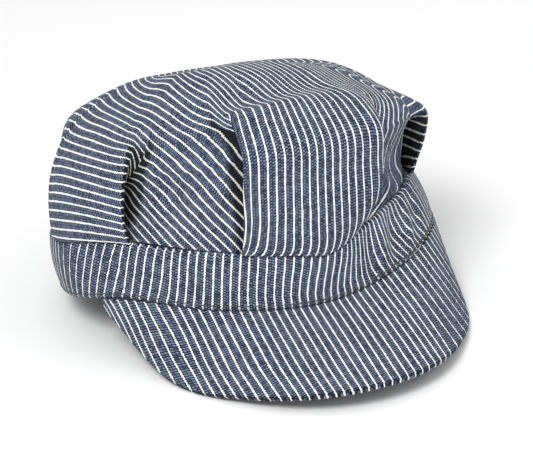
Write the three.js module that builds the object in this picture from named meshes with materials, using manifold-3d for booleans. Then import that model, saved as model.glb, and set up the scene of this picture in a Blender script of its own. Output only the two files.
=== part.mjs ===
// A railroad engineer cap of striped denim, lying on a table on its visor's corners and the back of its band.
// It is three sewn pieces: a one-piece crown folded into four box pleats, a band round the head, and a stiff
// visor.
// Millimetres, +Z up, front towards -Y, the wearer's left at +X. The origin is under the middle of the cap.

import * as THREE from "three";
import Module from "manifold-3d";
import { mergeVertices } from "three/addons/utils/BufferGeometryUtils.js";

// Driving sizes
const bandHalfWidth = 86;
const bandHalfLength = 101;
const bandHeight = 27.5;
const bandWall = 3;
const crownHeight = 69;
const crownCloth = 1.2;
const pleatWidth = 69;
const pleatUnderlap = 19;
const pleatGap = 0.3;
const visorLength = 68;
const visorThickness = 3;
const visorHalfAngle = 70;
const visorSkew = -2;
const visorFan = 0.1;
const visorTuck = 2;
const seamGap = 0.3;
const footFlat = 0.4;

// How finely each piece is faceted
const foldArcSteps = 3;
const boxPanelSteps = 9;
const sidePanelSteps = 9;
const levelsPerRow = 2;
const outlineSteps = 240;
const bandRows = 4;
const bandTurn = 5;
const bandFineTurn = 1.25;
const visorColumns = 28;
const visorRows = 5;
const visorNoseSteps = 4;

// The band every 30 degrees from the front towards the wearer's left, as shares of bandHeight: how far its
// lower edge lifts, how high it stands, how far its top edge leans out, and how far its middle swells.
const bandStations = [
  { lift: 0.0, height: 0.88, lean: 0.07, swell: 0.03 },
  { lift: 0.16, height: 1.08, lean: 0.0, swell: 0.02 },
  { lift: 0.35, height: 0.94, lean: -0.26, swell: 0.05 },
  { lift: 0.18, height: 1.0, lean: -0.18, swell: 0.06 },
  { lift: 0.0, height: 1.0, lean: 0.0, swell: 0.05 },
  { lift: 0.0, height: 1.0, lean: 0.03, swell: 0.05 },
  { lift: 0.0, height: 1.0, lean: 0.03, swell: 0.05 },
  { lift: 0.0, height: 1.0, lean: 0.04, swell: 0.05 },
  { lift: 0.0, height: 1.0, lean: 0.05, swell: 0.06 },
  { lift: 0.12, height: 1.0, lean: 0.05, swell: 0.06 },
  { lift: 0.35, height: 0.96, lean: 0.02, swell: 0.05 },
  { lift: 0.14, height: 0.96, lean: 0.04, swell: 0.04 },
];

// Upright wrinkles pressed into the band under the front pleat's left edge: where, half-width in degrees,
// and depth as a share of bandHeight, negative inwards.
const bandWrinkles = [
  { name: "first_dip", at: 16, spread: 3, depth: -0.05 },
  { name: "first_roll", at: 21, spread: 3, depth: 0.06 },
  { name: "deep_dip", at: 27, spread: 3.5, depth: -0.08 },
  { name: "wide_roll", at: 34, spread: 5, depth: 0.08 },
  { name: "last_dip", at: 43, spread: 4, depth: -0.04 },
];

// The front panel sags there and pulls the band's top edge down, by a share of bandHeight.
const bandSag = { at: 3, spread: 13, drop: 0.1 };

// The crown's profile from the seam at the band to the middle of its top, in four directions.
// Reach is a share of the band's outline, and rise a share of crownHeight.
// Sweep is the angle that a pleat's edge turns through, in degrees. Underlap is a share of pleatUnderlap.
const crownRows = [
  {
    name: "seam",
    frontReach: 1.0, frontRise: 0.0, leftReach: 1.0, leftRise: 0.0,
    backReach: 1.0, backRise: 0.0, rightReach: 1.0, rightRise: 0.0,
    sweep: 180, underlap: 1.0,
  },
  {
    name: "hem",
    frontReach: 1.05, frontRise: 0.2, leftReach: 0.99, leftRise: 0.12,
    backReach: 1.03, backRise: 0.13, rightReach: 1.01, rightRise: 0.12,
    sweep: 172, underlap: 0.95,
  },
  {
    name: "belly",
    frontReach: 1.07, frontRise: 0.42, leftReach: 1.02, leftRise: 0.27,
    backReach: 1.04, backRise: 0.29, rightReach: 1.0, rightRise: 0.29,
    sweep: 162, underlap: 0.8,
  },
  {
    name: "cheek",
    frontReach: 1.09, frontRise: 0.66, leftReach: 1.03, leftRise: 0.42,
    backReach: 1.0, backRise: 0.44, rightReach: 0.97, rightRise: 0.47,
    sweep: 150, underlap: 0.55,
  },
  {
    name: "brow",
    frontReach: 0.97, frontRise: 0.84, leftReach: 0.98, leftRise: 0.49,
    backReach: 0.93, backRise: 0.51, rightReach: 0.89, rightRise: 0.63,
    sweep: 80, underlap: 0.15,
  },
  {
    name: "valley",
    frontReach: 0.81, frontRise: 0.93, leftReach: 0.84, leftRise: 0.61,
    backReach: 0.78, backRise: 0.62, rightReach: 0.76, rightRise: 0.8,
    sweep: 20, underlap: 0.0,
  },
  {
    name: "ridge",
    frontReach: 0.56, frontRise: 1.02, leftReach: 0.65, leftRise: 0.79,
    backReach: 0.52, backRise: 0.76, rightReach: 0.49, rightRise: 0.92,
    sweep: 0, underlap: 0.0,
  },
  {
    name: "dome",
    frontReach: 0.27, frontRise: 1.0, leftReach: 0.33, leftRise: 0.88,
    backReach: 0.26, backRise: 0.86, rightReach: 0.23, rightRise: 0.95,
    sweep: 0, underlap: 0.0,
  },
  {
    name: "pole",
    frontReach: 0.0, frontRise: 0.94, leftReach: 0.0, leftRise: 0.94,
    backReach: 0.0, backRise: 0.94, rightReach: 0.0, rightRise: 0.94,
    sweep: 0, underlap: 0.0,
  },
];
const browRow = crownRows.findIndex((row) => row.name === "brow");

// Folds and dents pressed into the crown: the angle from the front towards the wearer's left and the row
// where each is deepest, how far it reaches both ways, and its height as a share of crownHeight, negative
// inwards.
const crownFolds = [
  { name: "valley_behind_brow", angle: -18, row: 5.1, halfAngle: 66, halfRow: 0.8, height: -0.05 },
  { name: "ridge_across_top", angle: -50, row: 6.2, halfAngle: 80, halfRow: 1.0, height: 0.05 },
  { name: "dent_in_right_cheek", angle: -43, row: 2.4, halfAngle: 8, halfRow: 1.6, height: -0.05 },
  { name: "pinch_above_left_seam", angle: 42, row: 1.3, halfAngle: 16, halfRow: 1.2, height: -0.06 },
  { name: "bulge_in_left_cheek", angle: 46, row: 3.4, halfAngle: 16, halfRow: 1.3, height: 0.06 },
];

// The box pleats, each centred on a share of the way round from the front, with the edges before and after
// its middle. Gape opens an edge's fold, in degrees. As shares of pleatWidth, slant moves an edge on by the
// brow, and pinch draws it in at the seam, fading out by pinchRow.
const pleats = [
  {
    name: "front",
    centre: 0.0,
    before: { gape: 8, slant: 0.04, pinch: 0.0 },
    after: { gape: 0, slant: 0.12, pinch: 0.22 },
  },
  {
    name: "left",
    centre: 0.21,
    before: { gape: 16, slant: 0.02, pinch: 0.0 },
    after: { gape: 6, slant: 0.0, pinch: 0.0 },
  },
  {
    name: "back",
    centre: 0.5,
    before: { gape: 4, slant: 0.0, pinch: 0.0 },
    after: { gape: 4, slant: 0.0, pinch: 0.0 },
  },
  {
    name: "right",
    centre: 0.79,
    before: { gape: 6, slant: 0.0, pinch: 0.0 },
    after: { gape: 18, slant: 0.08, pinch: -0.03 },
  },
];
const pinchRow = 1.4;

// The visor from its middle to its end. Length is a share of visorLength, and dip is its slope below the
// band, in degrees.
const visorStations = [
  { length: 1.0, dip: 18.6 },
  { length: 0.95, dip: 22 },
  { length: 0.79, dip: 32 },
  { length: 0.6, dip: 48 },
  { length: 0.1, dip: 68 },
];

// Number helpers
const radians = Math.PI / 180;
const clamp = (value, low, high) => Math.min(high, Math.max(low, value));
const mix = (a, b, share) => a + (b - a) * share;
const bump = (distance) => (Math.abs(distance) < 1 ? (1 + Math.cos(Math.PI * distance)) / 2 : 0);

// Catmull-Rom through four neighbouring values.
function spline(before, from, to, after, share) {
  const bend = 2 * before - 5 * from + 4 * to - after;
  const twist = 3 * (from - to) + after - before;
  return from + 0.5 * share * (to - before + share * (bend + share * twist));
}

// A column of a table at a fractional row, the ends held.
function alongTable(rows, column, row) {
  const start = clamp(Math.floor(row), 0, rows.length - 2);
  const value = (index) => rows[clamp(index, 0, rows.length - 1)][column];
  return spline(value(start - 1), value(start), value(start + 1), value(start + 2), row - start);
}

// A column of a table whose rows go once round, at an angle from the front.
function aroundTable(rows, column, angle) {
  const place = (((angle / (2 * Math.PI)) % 1) + 1) % 1 * rows.length;
  const start = Math.floor(place);
  const value = (index) => rows[(index + rows.length) % rows.length][column];
  return spline(value(start - 1), value(start), value(start + 1), value(start + 2), place - start);
}

// The band's outline at an angle from the front, with its outward normal.
function outline(angle, reach = 1) {
  const across = Math.sin(angle);
  const ahead = -Math.cos(angle);
  const point = new THREE.Vector3(bandHalfWidth * across, bandHalfLength * ahead, 0).multiplyScalar(reach);
  const normal = new THREE.Vector3(across / bandHalfWidth, ahead / bandHalfLength, 0).normalize();
  return { point, normal };
}

// How near an angle is to a place on the cap, from 1 there to 0 at its spread, all but the angle in degrees.
function nearness(angle, at, spread) {
  const turn = angle / radians - at;
  return bump((turn - 360 * Math.round(turn / 360)) / spread);
}

// A point of the band's outer face, up a share of its height.
function bandPoint(angle, up) {
  const { point, normal } = outline(angle);
  const arch = Math.sin(Math.PI * up);
  let out = aroundTable(bandStations, "lean", angle) * up + aroundTable(bandStations, "swell", angle) * arch;
  for (const wrinkle of bandWrinkles) {
    out += wrinkle.depth * arch * nearness(angle, wrinkle.at, wrinkle.spread);
  }
  const sag = bandSag.drop * nearness(angle, bandSag.at, bandSag.spread);
  const height = aroundTable(bandStations, "height", angle) - sag;
  point.addScaledVector(normal, out * bandHeight);
  point.z = (aroundTable(bandStations, "lift", angle) + height * up) * bandHeight;
  return point;
}

// A value of the crown at an angle from the front, mixed from the table's four directions.
function crownMix(angle, row, quantity) {
  const ahead = Math.cos(angle);
  const aside = Math.sin(angle);
  const lengthwise = alongTable(crownRows, (ahead > 0 ? "front" : "back") + quantity, row);
  const sideways = alongTable(crownRows, (aside > 0 ? "left" : "right") + quantity, row);
  return lengthwise * ahead ** 2 + sideways * aside ** 2;
}

// A point of the crown's unpleated surface. Its seam follows the band's top edge, and levels out by its brow.
function crownPoint(angle, row) {
  const { point, normal } = outline(angle, crownMix(angle, row, "Reach"));
  const seamShare = clamp(1 - row / browRow, 0, 1) ** 2;
  point.addScaledVector(normal, aroundTable(bandStations, "lean", angle) * bandHeight * seamShare);
  const seam = bandPoint(angle, 1).z;
  point.z = seamGap + mix(bandHeight, seam, seamShare) + crownMix(angle, row, "Rise") * crownHeight;
  const upwards = clamp(row / browRow, 0, 1) ** 3;
  const outwards = normal.multiplyScalar(1 - upwards).setZ(upwards);
  for (const fold of crownFolds) {
    const share = nearness(angle, fold.angle, fold.halfAngle) * bump((row - fold.row) / fold.halfRow);
    point.addScaledVector(outwards, share * fold.height * crownHeight);
  }
  return point;
}

// One level of the crown: its length round, and a frame at any distance along it from the front.
function crownLevel(row) {
  const turn = (2 * Math.PI) / outlineSteps;
  const angles = Array.from({ length: outlineSteps + 1 }, (_, step) => step * turn);
  const lengths = [0];
  let last = crownPoint(0, row);
  for (const angle of angles.slice(1)) {
    const point = crownPoint(angle, row);
    lengths.push(lengths[lengths.length - 1] + point.distanceTo(last));
    last = point;
  }
  const perimeter = lengths[outlineSteps];

  function angleAt(distance) {
    const turns = Math.floor(distance / perimeter);
    const rest = distance - turns * perimeter;
    let low = 0;
    let high = outlineSteps;
    while (high - low > 1) {
      const middle = (low + high) >> 1;
      if (lengths[middle] <= rest) low = middle;
      else high = middle;
    }
    const share = (rest - lengths[low]) / (lengths[high] - lengths[low]);
    return 2 * Math.PI * turns + mix(angles[low], angles[high], share);
  }

  function frameAt(distance) {
    const angle = angleAt(distance);
    const point = crownPoint(angle, row);
    const nudge = 0.02;
    const along = crownPoint(angle + nudge, row).sub(crownPoint(angle - nudge, row)).normalize();
    const higher = crownPoint(angle, Math.min(row + nudge, crownRows.length - 1));
    const upward = higher.sub(crownPoint(angle, Math.max(row - nudge, 0)));
    upward.lerp(new THREE.Vector3(0, 0, upward.length()), clamp(1 - row, 0, 1));
    const outward = new THREE.Vector3().crossVectors(along, upward).normalize();
    return { point, along, outward };
  }
  return { perimeter, frameAt };
}

// The middle line of the cloth at a pleat's edge, from the pleat's face to the panel under it:
// it turns down and under, runs back, and turns out again. Heading is in radians, 0 along the face.
function foldLine(sweep, underlap, spread) {
  const radius = (crownCloth + pleatGap) / 2;
  const line = [];
  for (let step = 0; step <= foldArcSteps; step++) {
    const turned = (sweep * step) / foldArcSteps;
    line.push({ along: radius * Math.sin(turned), depth: radius * (1 - Math.cos(turned)), heading: -turned });
  }
  const reach = radius * Math.sin(sweep) + underlap * Math.cos(sweep);
  const drop = radius * (1 - Math.cos(sweep)) + underlap * Math.sin(sweep);
  for (let step = 0; step <= foldArcSteps; step++) {
    const left = sweep * (1 - step / foldArcSteps);
    line.push({
      along: reach + radius * (Math.sin(sweep) - Math.sin(left)),
      depth: drop + radius * (Math.cos(left) - Math.cos(sweep)),
      heading: -left,
    });
  }
  const last = line.length - 1;
  return line.map((place, index) => ({ ...place, along: place.along + spread * (index / last - 0.5) }));
}

// One level of the crown as places on the cloth's middle line, once round from the front pleat's middle.
function crownSection(row, perimeter, browPerimeter) {
  const narrowing = Math.min(1, perimeter / browPerimeter);
  const halfWidth = (pleatWidth / 2) * narrowing;
  const sweepThere = alongTable(crownRows, "sweep", row);
  const underlap = Math.max(0, alongTable(crownRows, "underlap", row)) * pleatUnderlap;
  const spread = (1 - clamp(sweepThere, 0, 180) / 180) * pleatUnderlap * narrowing;
  const edgeRadius = crownCloth + pleatGap / 2;
  const opening = bump((row - browRow / 2) / browRow);

  function edge(pleat, side) {
    const { gape, slant, pinch } = side < 0 ? pleat.before : pleat.after;
    const sweep = clamp(sweepThere - gape * opening, 0, 180) * radians;
    const moved = slant * Math.min(1, row / browRow) - side * pinch * Math.max(0, 1 - row / pinchRow) ** 2;
    const reach = halfWidth - edgeRadius * Math.min(1, sweepThere / 90);
    const start = pleat.centre * perimeter + moved * pleatWidth * narrowing + side * reach;
    const line = foldLine(sweep, underlap, spread).map((place) => ({
      along: start + side * place.along,
      depth: place.depth,
      heading: side * place.heading,
    }));
    return side > 0 ? line : line.reverse();
  }

  function panel(from, to, steps) {
    return Array.from({ length: steps - 1 }, (_, step) => {
      const share = (step + 1) / steps;
      const along = mix(from.along, to.along, share);
      return { along, depth: mix(from.depth, to.depth, share), heading: 0 };
    });
  }

  const edges = pleats.map((pleat) => ({ before: edge(pleat, -1), after: edge(pleat, 1) }));
  const places = [];
  edges.forEach(({ before, after }, index) => {
    const next = index + 1 < edges.length ? edges[index + 1].before[0] : null;
    const around = { ...edges[0].before[0], along: edges[0].before[0].along + perimeter };
    places.push(...before, ...panel(before[before.length - 1], after[0], boxPanelSteps));
    places.push(...after, ...panel(after[after.length - 1], next ?? around, sidePanelSteps));
  });
  return places;
}

// A closed solid from rings of equal length, outer and inner, each from the bottom up.
// Each pole is a point that closes its last ring, or null where the wall ends in an open edge.
function wallGeometry(outer, inner, outerPole = null, innerPole = null) {
  const columns = outer[0].length;
  const positions = [...outer.flat(), ...inner.flat()].flatMap((point) => point.toArray());
  const triangles = [];
  const firstInner = outer.length * columns;
  function place(rings, ring, column) {
    return (rings === inner ? firstInner : 0) + ring * columns + (column % columns);
  }
  const quad = (a, b, c, d) => triangles.push(a, b, c, a, c, d);
  for (let ring = 0; ring + 1 < outer.length; ring++) {
    for (let column = 0; column < columns; column++) {
      const corners = (rings) => [
        place(rings, ring, column),
        place(rings, ring, column + 1),
        place(rings, ring + 1, column + 1),
        place(rings, ring + 1, column),
      ];
      quad(...corners(outer));
      quad(...corners(inner).reverse());
    }
  }
  const top = outer.length - 1;
  const outerTip = positions.length / 3;
  const innerTip = outerTip + 1;
  if (outerPole) positions.push(...outerPole.toArray(), ...innerPole.toArray());
  for (let column = 0; column < columns; column++) {
    const next = column + 1;
    quad(place(outer, 0, next), place(outer, 0, column), place(inner, 0, column), place(inner, 0, next));
    const [from, to] = [place(outer, top, column), place(outer, top, next)];
    const [innerFrom, innerTo] = [place(inner, top, column), place(inner, top, next)];
    if (outerPole) triangles.push(from, to, outerTip, innerTo, innerFrom, innerTip);
    else quad(from, to, innerTo, innerFrom);
  }
  return new THREE.BufferGeometry()
    .setAttribute("position", new THREE.Float32BufferAttribute(positions, 3))
    .setIndex(triangles);
}

// The crown
function crownGeometry() {
  const browPerimeter = crownLevel(browRow).perimeter;
  const outer = [];
  const inner = [];
  const levels = (crownRows.length - 1) * levelsPerRow;
  for (let level = 0; level < levels; level++) {
    const row = level / levelsPerRow;
    const { perimeter, frameAt } = crownLevel(row);
    const places = crownSection(row, perimeter, browPerimeter);
    const facePoint = (place, side) => {
      const { point, along, outward } = frameAt(place.along);
      const half = (side * crownCloth) / 2;
      return point
        .addScaledVector(along, -Math.sin(place.heading) * half)
        .addScaledVector(outward, Math.cos(place.heading) * half - place.depth + crownCloth / 2 + pleatGap);
    };
    outer.push(places.map((place) => facePoint(place, 1)));
    inner.push(places.map((place) => facePoint(place, -1)));
  }
  const pole = crownPoint(0, crownRows.length - 1);
  return wallGeometry(outer, inner, pole, pole.clone().setZ(pole.z - crownCloth));
}

// Angles round the band, closer together where it sags or is wrinkled.
function bandAngles() {
  const uneven = (degrees) =>
    [bandSag, ...bandWrinkles].some((place) => Math.abs(degrees - place.at) <= place.spread);
  const angles = [];
  for (let degrees = 0; degrees < 360; degrees += uneven(degrees) ? bandFineTurn : bandTurn) {
    angles.push(degrees * radians);
  }
  return angles;
}

function bandGeometry() {
  const angles = bandAngles();
  const ups = Array.from({ length: bandRows + 1 }, (_, row) => row / bandRows);
  const outer = ups.map((up) => angles.map((angle) => bandPoint(angle, up)));
  const innerPoint = (angle, up) => bandPoint(angle, up).addScaledVector(outline(angle).normal, -bandWall);
  const inner = ups.map((up) => angles.map((angle) => innerPoint(angle, up)));
  return wallGeometry(outer, inner);
}

// A point of the visor's middle surface: across from -1 at its right end to 1 at its left, and out from 0 at
// the band to 1 at its rim.
function visorPoint(across, out) {
  const angle = across * visorHalfAngle * radians;
  const station = Math.abs(across) * (visorStations.length - 1);
  const dip = alongTable(visorStations, "dip", station) * radians;
  const length = alongTable(visorStations, "length", station) * visorLength;
  const { point, normal } = outline(angle);
  point.addScaledVector(normal, -visorTuck * Math.cos(dip));
  const root = aroundTable(bandStations, "lift", angle) * bandHeight - seamGap;
  point.z = root - (visorThickness / 2) * Math.cos(dip);
  const sideways = visorFan * Math.sin(angle) + Math.tan(visorSkew * radians);
  const forward = new THREE.Vector3(sideways, -1, 0).normalize().multiplyScalar(Math.cos(dip));
  forward.z = -Math.sin(dip);
  return point.addScaledVector(forward, length * out);
}

// The visor is lofted across through loops that run out along its underside, round its rim and back along its
// top.
function visorGeometry() {
  const loop = [];
  for (let row = 0; row < visorRows; row++) loop.push({ out: row / visorRows, face: -1, nose: 0 });
  for (let step = 0; step <= visorNoseSteps; step++) {
    const turned = (Math.PI * step) / visorNoseSteps - Math.PI / 2;
    loop.push({ out: 1, face: Math.sin(turned), nose: Math.cos(turned) });
  }
  for (let row = visorRows - 1; row >= 0; row--) loop.push({ out: row / visorRows, face: 1, nose: 0 });

  const loops = [];
  for (let column = 0; column <= visorColumns; column++) {
    const across = (2 * column) / visorColumns - 1;
    const nudge = 0.01;
    const inside = clamp(across, nudge - 1, 1 - nudge);
    loops.push(
      loop.map(({ out, face, nose }) => {
        const sideways = visorPoint(inside + nudge, out).sub(visorPoint(inside - nudge, out));
        const onward = visorPoint(inside, 1).sub(visorPoint(inside, 0)).normalize();
        const up = new THREE.Vector3().crossVectors(onward, sideways).normalize().negate();
        return visorPoint(across, out)
          .addScaledVector(up, (face * visorThickness) / 2)
          .addScaledVector(onward, (nose - 1) * (out * visorThickness) / 2);
      }),
    );
  }
  const size = loop.length;
  const positions = loops.flat().flatMap((point) => point.toArray());
  const triangles = [];
  for (let column = 0; column < visorColumns; column++) {
    for (let index = 0; index < size; index++) {
      const next = (index + 1) % size;
      const [a, b] = [column * size + index, column * size + next];
      triangles.push(a, b + size, a + size, a, b, b + size);
    }
  }
  const flatEnd = loop.map(({ out, face, nose }) => new THREE.Vector2(out * visorLength + nose, face));
  for (const [a, b, c] of THREE.ShapeUtils.triangulateShape(flatEnd, [])) {
    const last = visorColumns * size;
    triangles.push(a, c, b, last + a, last + b, last + c);
  }
  return new THREE.BufferGeometry()
    .setAttribute("position", new THREE.Float32BufferAttribute(positions, 3))
    .setIndex(triangles);
}

// The pose in which the cap rests: tipped back until its visor and the back of its band are level. The tilt
// is found by halving a range again and again.
function restTilt(visor, band) {
  const lowest = (geometry, tilt) => {
    const turned = geometry.clone().rotateX(tilt);
    turned.computeBoundingBox();
    return turned.boundingBox.min.z;
  };
  const halvings = 40;
  let low = 0;
  let high = 30 * radians;
  for (let step = 0; step < halvings; step++) {
    const tilt = (low + high) / 2;
    if (lowest(visor, -tilt) < lowest(band, -tilt)) low = tilt;
    else high = tilt;
  }
  return -(low + high) / 2;
}

const wasm = await Module();
wasm.setup();

function solidOf(geometry) {
  const bare = new THREE.BufferGeometry().setAttribute("position", geometry.getAttribute("position"));
  const merged = mergeVertices(bare.setIndex(geometry.index), 1e-4);
  const vertProperties = merged.getAttribute("position").array;
  const triVerts = new Uint32Array(merged.index.array);
  return new wasm.Manifold(new wasm.Mesh({ numProp: 3, vertProperties, triVerts }));
}

// What the cap rests on is pressed flat: the part of a piece under the table's top is cut away.
function cutAtTable(geometry) {
  const size = 8 * (bandHalfLength + visorLength);
  const table = new THREE.BoxGeometry(size, size, size).translate(0, 0, -size / 2);
  const mesh = solidOf(geometry).subtract(solidOf(table)).getMesh();
  return new THREE.BufferGeometry()
    .setAttribute("position", new THREE.Float32BufferAttribute(mesh.vertProperties, 3))
    .setIndex(new THREE.BufferAttribute(mesh.triVerts, 1));
}

function denim(name, color, roughness) {
  return new THREE.MeshStandardMaterial({ name, color, roughness, metalness: 0 });
}

const pieces = [
  { name: "crown", geometry: crownGeometry(), material: denim("crown_denim", 0x6c7fa6, 0.9) },
  { name: "band", geometry: bandGeometry(), material: denim("band_denim", 0x67799f, 0.9) },
  { name: "visor", geometry: visorGeometry(), material: denim("visor_denim", 0x6578a0, 0.85) },
];
const [, band, visor] = pieces;
const tilt = restTilt(visor.geometry, band.geometry);
const whole = new THREE.Box3();
for (const { geometry } of pieces) {
  geometry.rotateX(tilt);
  geometry.computeBoundingBox();
  whole.union(geometry.boundingBox);
}
const middle = whole.getCenter(new THREE.Vector3());

const cap = new THREE.Group();
for (const { name, geometry, material } of pieces) {
  geometry.translate(-middle.x, -middle.y, -whole.min.z - footFlat);
  const mesh = new THREE.Mesh(cutAtTable(geometry), material);
  mesh.name = name;
  cap.add(mesh);
}

export default cap;
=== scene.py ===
"""A railroad engineer cap of striped denim on a pale floor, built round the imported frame.

The crown, the band and the visor are fine cloth meshes on the same sizes as the frame's solids, in
millimetres in the cap's own upright frame: X to the wearer's left, Y to the back, Z up from the band's
lower edge. They are then tipped and shifted to where the frame has them. Every mesh carries the cloth's own
coordinates, so that the woven stripes run through its pleats as they do in one piece of cloth.
"""

import math

import bpy
import numpy as np
from mathutils import Matrix, Vector


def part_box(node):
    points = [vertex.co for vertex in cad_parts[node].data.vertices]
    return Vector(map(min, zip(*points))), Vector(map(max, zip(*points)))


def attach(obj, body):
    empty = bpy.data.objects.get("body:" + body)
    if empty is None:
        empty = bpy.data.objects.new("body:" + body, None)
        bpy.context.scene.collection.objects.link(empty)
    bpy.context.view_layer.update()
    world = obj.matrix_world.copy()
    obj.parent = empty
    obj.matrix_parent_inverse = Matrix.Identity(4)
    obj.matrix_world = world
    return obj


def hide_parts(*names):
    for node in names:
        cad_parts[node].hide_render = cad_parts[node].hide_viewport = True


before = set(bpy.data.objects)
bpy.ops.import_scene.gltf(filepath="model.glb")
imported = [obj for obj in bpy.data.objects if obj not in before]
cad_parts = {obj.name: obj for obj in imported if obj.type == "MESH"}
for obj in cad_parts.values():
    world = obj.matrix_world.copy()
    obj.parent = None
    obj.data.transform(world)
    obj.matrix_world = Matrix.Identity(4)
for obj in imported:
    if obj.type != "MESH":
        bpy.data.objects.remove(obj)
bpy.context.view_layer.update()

MM = 0.001

# The cap's sizes, in millimetres and degrees
BAND_HALF_WIDTH = 86.0
BAND_HALF_LENGTH = 101.0
BAND_HEIGHT = 27.5
BAND_WALL = 3.0
BAND_ROLL = 1.1
CROWN_HEIGHT = 69.0
CLOTH = 0.8
PLEAT_WIDTH = 69.0
PLEAT_UNDERLAP = 19.0
PLEAT_GAP = 0.25
VISOR_LENGTH = 68.0
VISOR_THICKNESS = 3.0
VISOR_HALF_ANGLE = 70.0
VISOR_SKEW = -2.0
VISOR_FAN = 0.1
VISOR_TUCK = 2.0
REST_TILT = math.radians(-7.07)

# The weave, in millimetres: the white stripes, the picks that cross them, and how far a pick sways and
# frays a stripe. Each group of yarns takes the picks on by a share of one. CLOTH_UNIT is a millimetre in
# the UV map.
STRIPE_PITCH = 4.15
STRIPE_WIDTH = 0.85
STRIPE_SWAY = 0.17
STRIPE_FRAY = 0.24
PICK_PITCH = 1.3
YARNS_PER_STRIPE = 3.0
TWILL_STEP = 0.36
LEAST_PACE = 0.3
CLOTH_UNIT = 0.01

# Painted shade: the colours the blue and the white fall towards in folds and at the visor's rim, and how
# far
PAINTED_SHADE_BLUE = (0.004, 0.005, 0.008, 1)
PAINTED_SHADE_WHITE = (0.42, 0.4, 0.3, 1)
PAINTED_SHADE_BLUE_SHARE = 0.94
PAINTED_SHADE_WHITE_SHARE = 0.6

# The camera: its direction in the cap's upright frame, its roll, its distance from the middle of the band's
# lower edge, and where that middle is in the picture
PICTURE = (533.0, 462.0)
CAMERA_TURN = math.radians(17.8)
CAMERA_RISE = math.radians(14.1)
CAMERA_ROLL = math.radians(9.4)
CAMERA_DISTANCE = 1365.0
PIXELS_PER_MM = 2.147
BAND_CENTRE_PIXEL = (248.0, 261.0)
SENSOR = 36.0

# The band every 30 degrees from the front towards the wearer's left, as shares of its height: how far its
# lower edge lifts, how high it stands, and how far its top leans out and its middle swells.
BAND_STATIONS = {
    "lift": [0.0, 0.16, 0.35, 0.18, 0.0, 0.0, 0.0, 0.0, 0.0, 0.12, 0.35, 0.14],
    "height": [0.88, 1.08, 0.94, 1.0, 1.0, 1.0, 1.0, 1.0, 1.0, 1.0, 0.96, 0.96],
    "lean": [0.07, 0.0, -0.26, -0.18, 0.0, 0.03, 0.03, 0.04, 0.05, 0.05, 0.02, 0.04],
    "swell": [0.03, 0.02, 0.05, 0.06, 0.05, 0.05, 0.05, 0.05, 0.06, 0.06, 0.05, 0.04],
}

# Upright wrinkles pressed into the band: where, half-width in degrees, and depth as a share of its height.
BAND_WRINKLES = [
    {"at": 16.0, "spread": 3.0, "depth": -0.05},
    {"at": 21.0, "spread": 3.0, "depth": 0.06},
    {"at": 27.0, "spread": 3.5, "depth": -0.08},
    {"at": 34.0, "spread": 5.0, "depth": 0.08},
    {"at": 43.0, "spread": 4.0, "depth": -0.04},
]
# The front panel pulls the band's top edge down where its right corner is gathered.
BAND_SAG = {"at": 3.0, "spread": 13.0, "drop": 0.1}

# The crown's profile from the seam to the middle of its top. Reach is a share of the band's outline, and
# rise a share of the crown's height. Sweep is how far a pleat's edge turns, in degrees.
CROWN_ROWS = {
    "front_reach": [1.0, 1.05, 1.07, 1.09, 0.97, 0.81, 0.56, 0.27, 0.0],
    "front_rise": [0.0, 0.2, 0.42, 0.66, 0.84, 0.93, 1.02, 1.0, 0.94],
    "left_reach": [1.0, 0.99, 1.02, 1.03, 0.98, 0.84, 0.65, 0.33, 0.0],
    "left_rise": [0.0, 0.12, 0.27, 0.42, 0.49, 0.61, 0.79, 0.88, 0.94],
    "back_reach": [1.0, 1.03, 1.04, 1.0, 0.93, 0.78, 0.52, 0.26, 0.0],
    "back_rise": [0.0, 0.13, 0.29, 0.44, 0.51, 0.62, 0.76, 0.86, 0.94],
    "right_reach": [1.0, 1.01, 1.0, 0.97, 0.89, 0.76, 0.49, 0.23, 0.0],
    "right_rise": [0.0, 0.12, 0.29, 0.47, 0.63, 0.8, 0.92, 0.95, 0.94],
    "sweep": [180.0, 172.0, 162.0, 150.0, 80.0, 20.0, 0.0, 0.0, 0.0],
    "underlap": [1.0, 0.95, 0.8, 0.55, 0.15, 0.0, 0.0, 0.0, 0.0],
}
BROW_ROW = 4
PINCH_ROW = 1.4
POLE_ROW = 8

# Folds and dents of the crown: the angle from the front towards the wearer's left and the row where each is
# deepest, how far it reaches both ways, and its height as a share of the crown's.
CROWN_FOLDS = [
    {"angle": -18, "row": 5.1, "half_angle": 66, "half_row": 0.8, "height": -0.05},
    {"angle": -50, "row": 6.2, "half_angle": 80, "half_row": 1.0, "height": 0.05},
    {"angle": -43, "row": 2.4, "half_angle": 8, "half_row": 1.6, "height": -0.05},
    {"angle": 42, "row": 1.3, "half_angle": 16, "half_row": 1.2, "height": -0.06},
    {"angle": 46, "row": 3.4, "half_angle": 16, "half_row": 1.3, "height": 0.06},
]


def pleat_edge(gape, slant=0.0, pinch=0.0, hold=0.0):
    return {"gape": gape, "slant": slant, "pinch": pinch, "hold": hold}


# The box pleats, each centred on a share of the way round, with the edges before and after its middle. Gape
# opens an edge's fold, in degrees. Slant moves the edge on by the brow, and pinch draws it in at the seam,
# both as shares of the pleat's width. Hold is how many rows further up the edge stays folded.
PLEATS = [
    {
        "centre": 0.0,
        "before": pleat_edge(8.0, slant=0.09, hold=0.8),
        "after": pleat_edge(0.0, slant=0.12, pinch=0.22),
    },
    {"centre": 0.21, "before": pleat_edge(16.0, slant=0.02), "after": pleat_edge(6.0)},
    {"centre": 0.5, "before": pleat_edge(4.0), "after": pleat_edge(4.0)},
    {
        "centre": 0.79,
        "before": pleat_edge(6.0),
        "after": pleat_edge(18.0, slant=0.08, pinch=-0.03, hold=0.45),
    },
]

# The visor from its middle to its end: its length as a share, and its slope in degrees
VISOR_STATIONS = {"length": [1.0, 0.95, 0.79, 0.6, 0.1], "dip": [18.6, 22.0, 32.0, 48.0, 68.0]}
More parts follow.
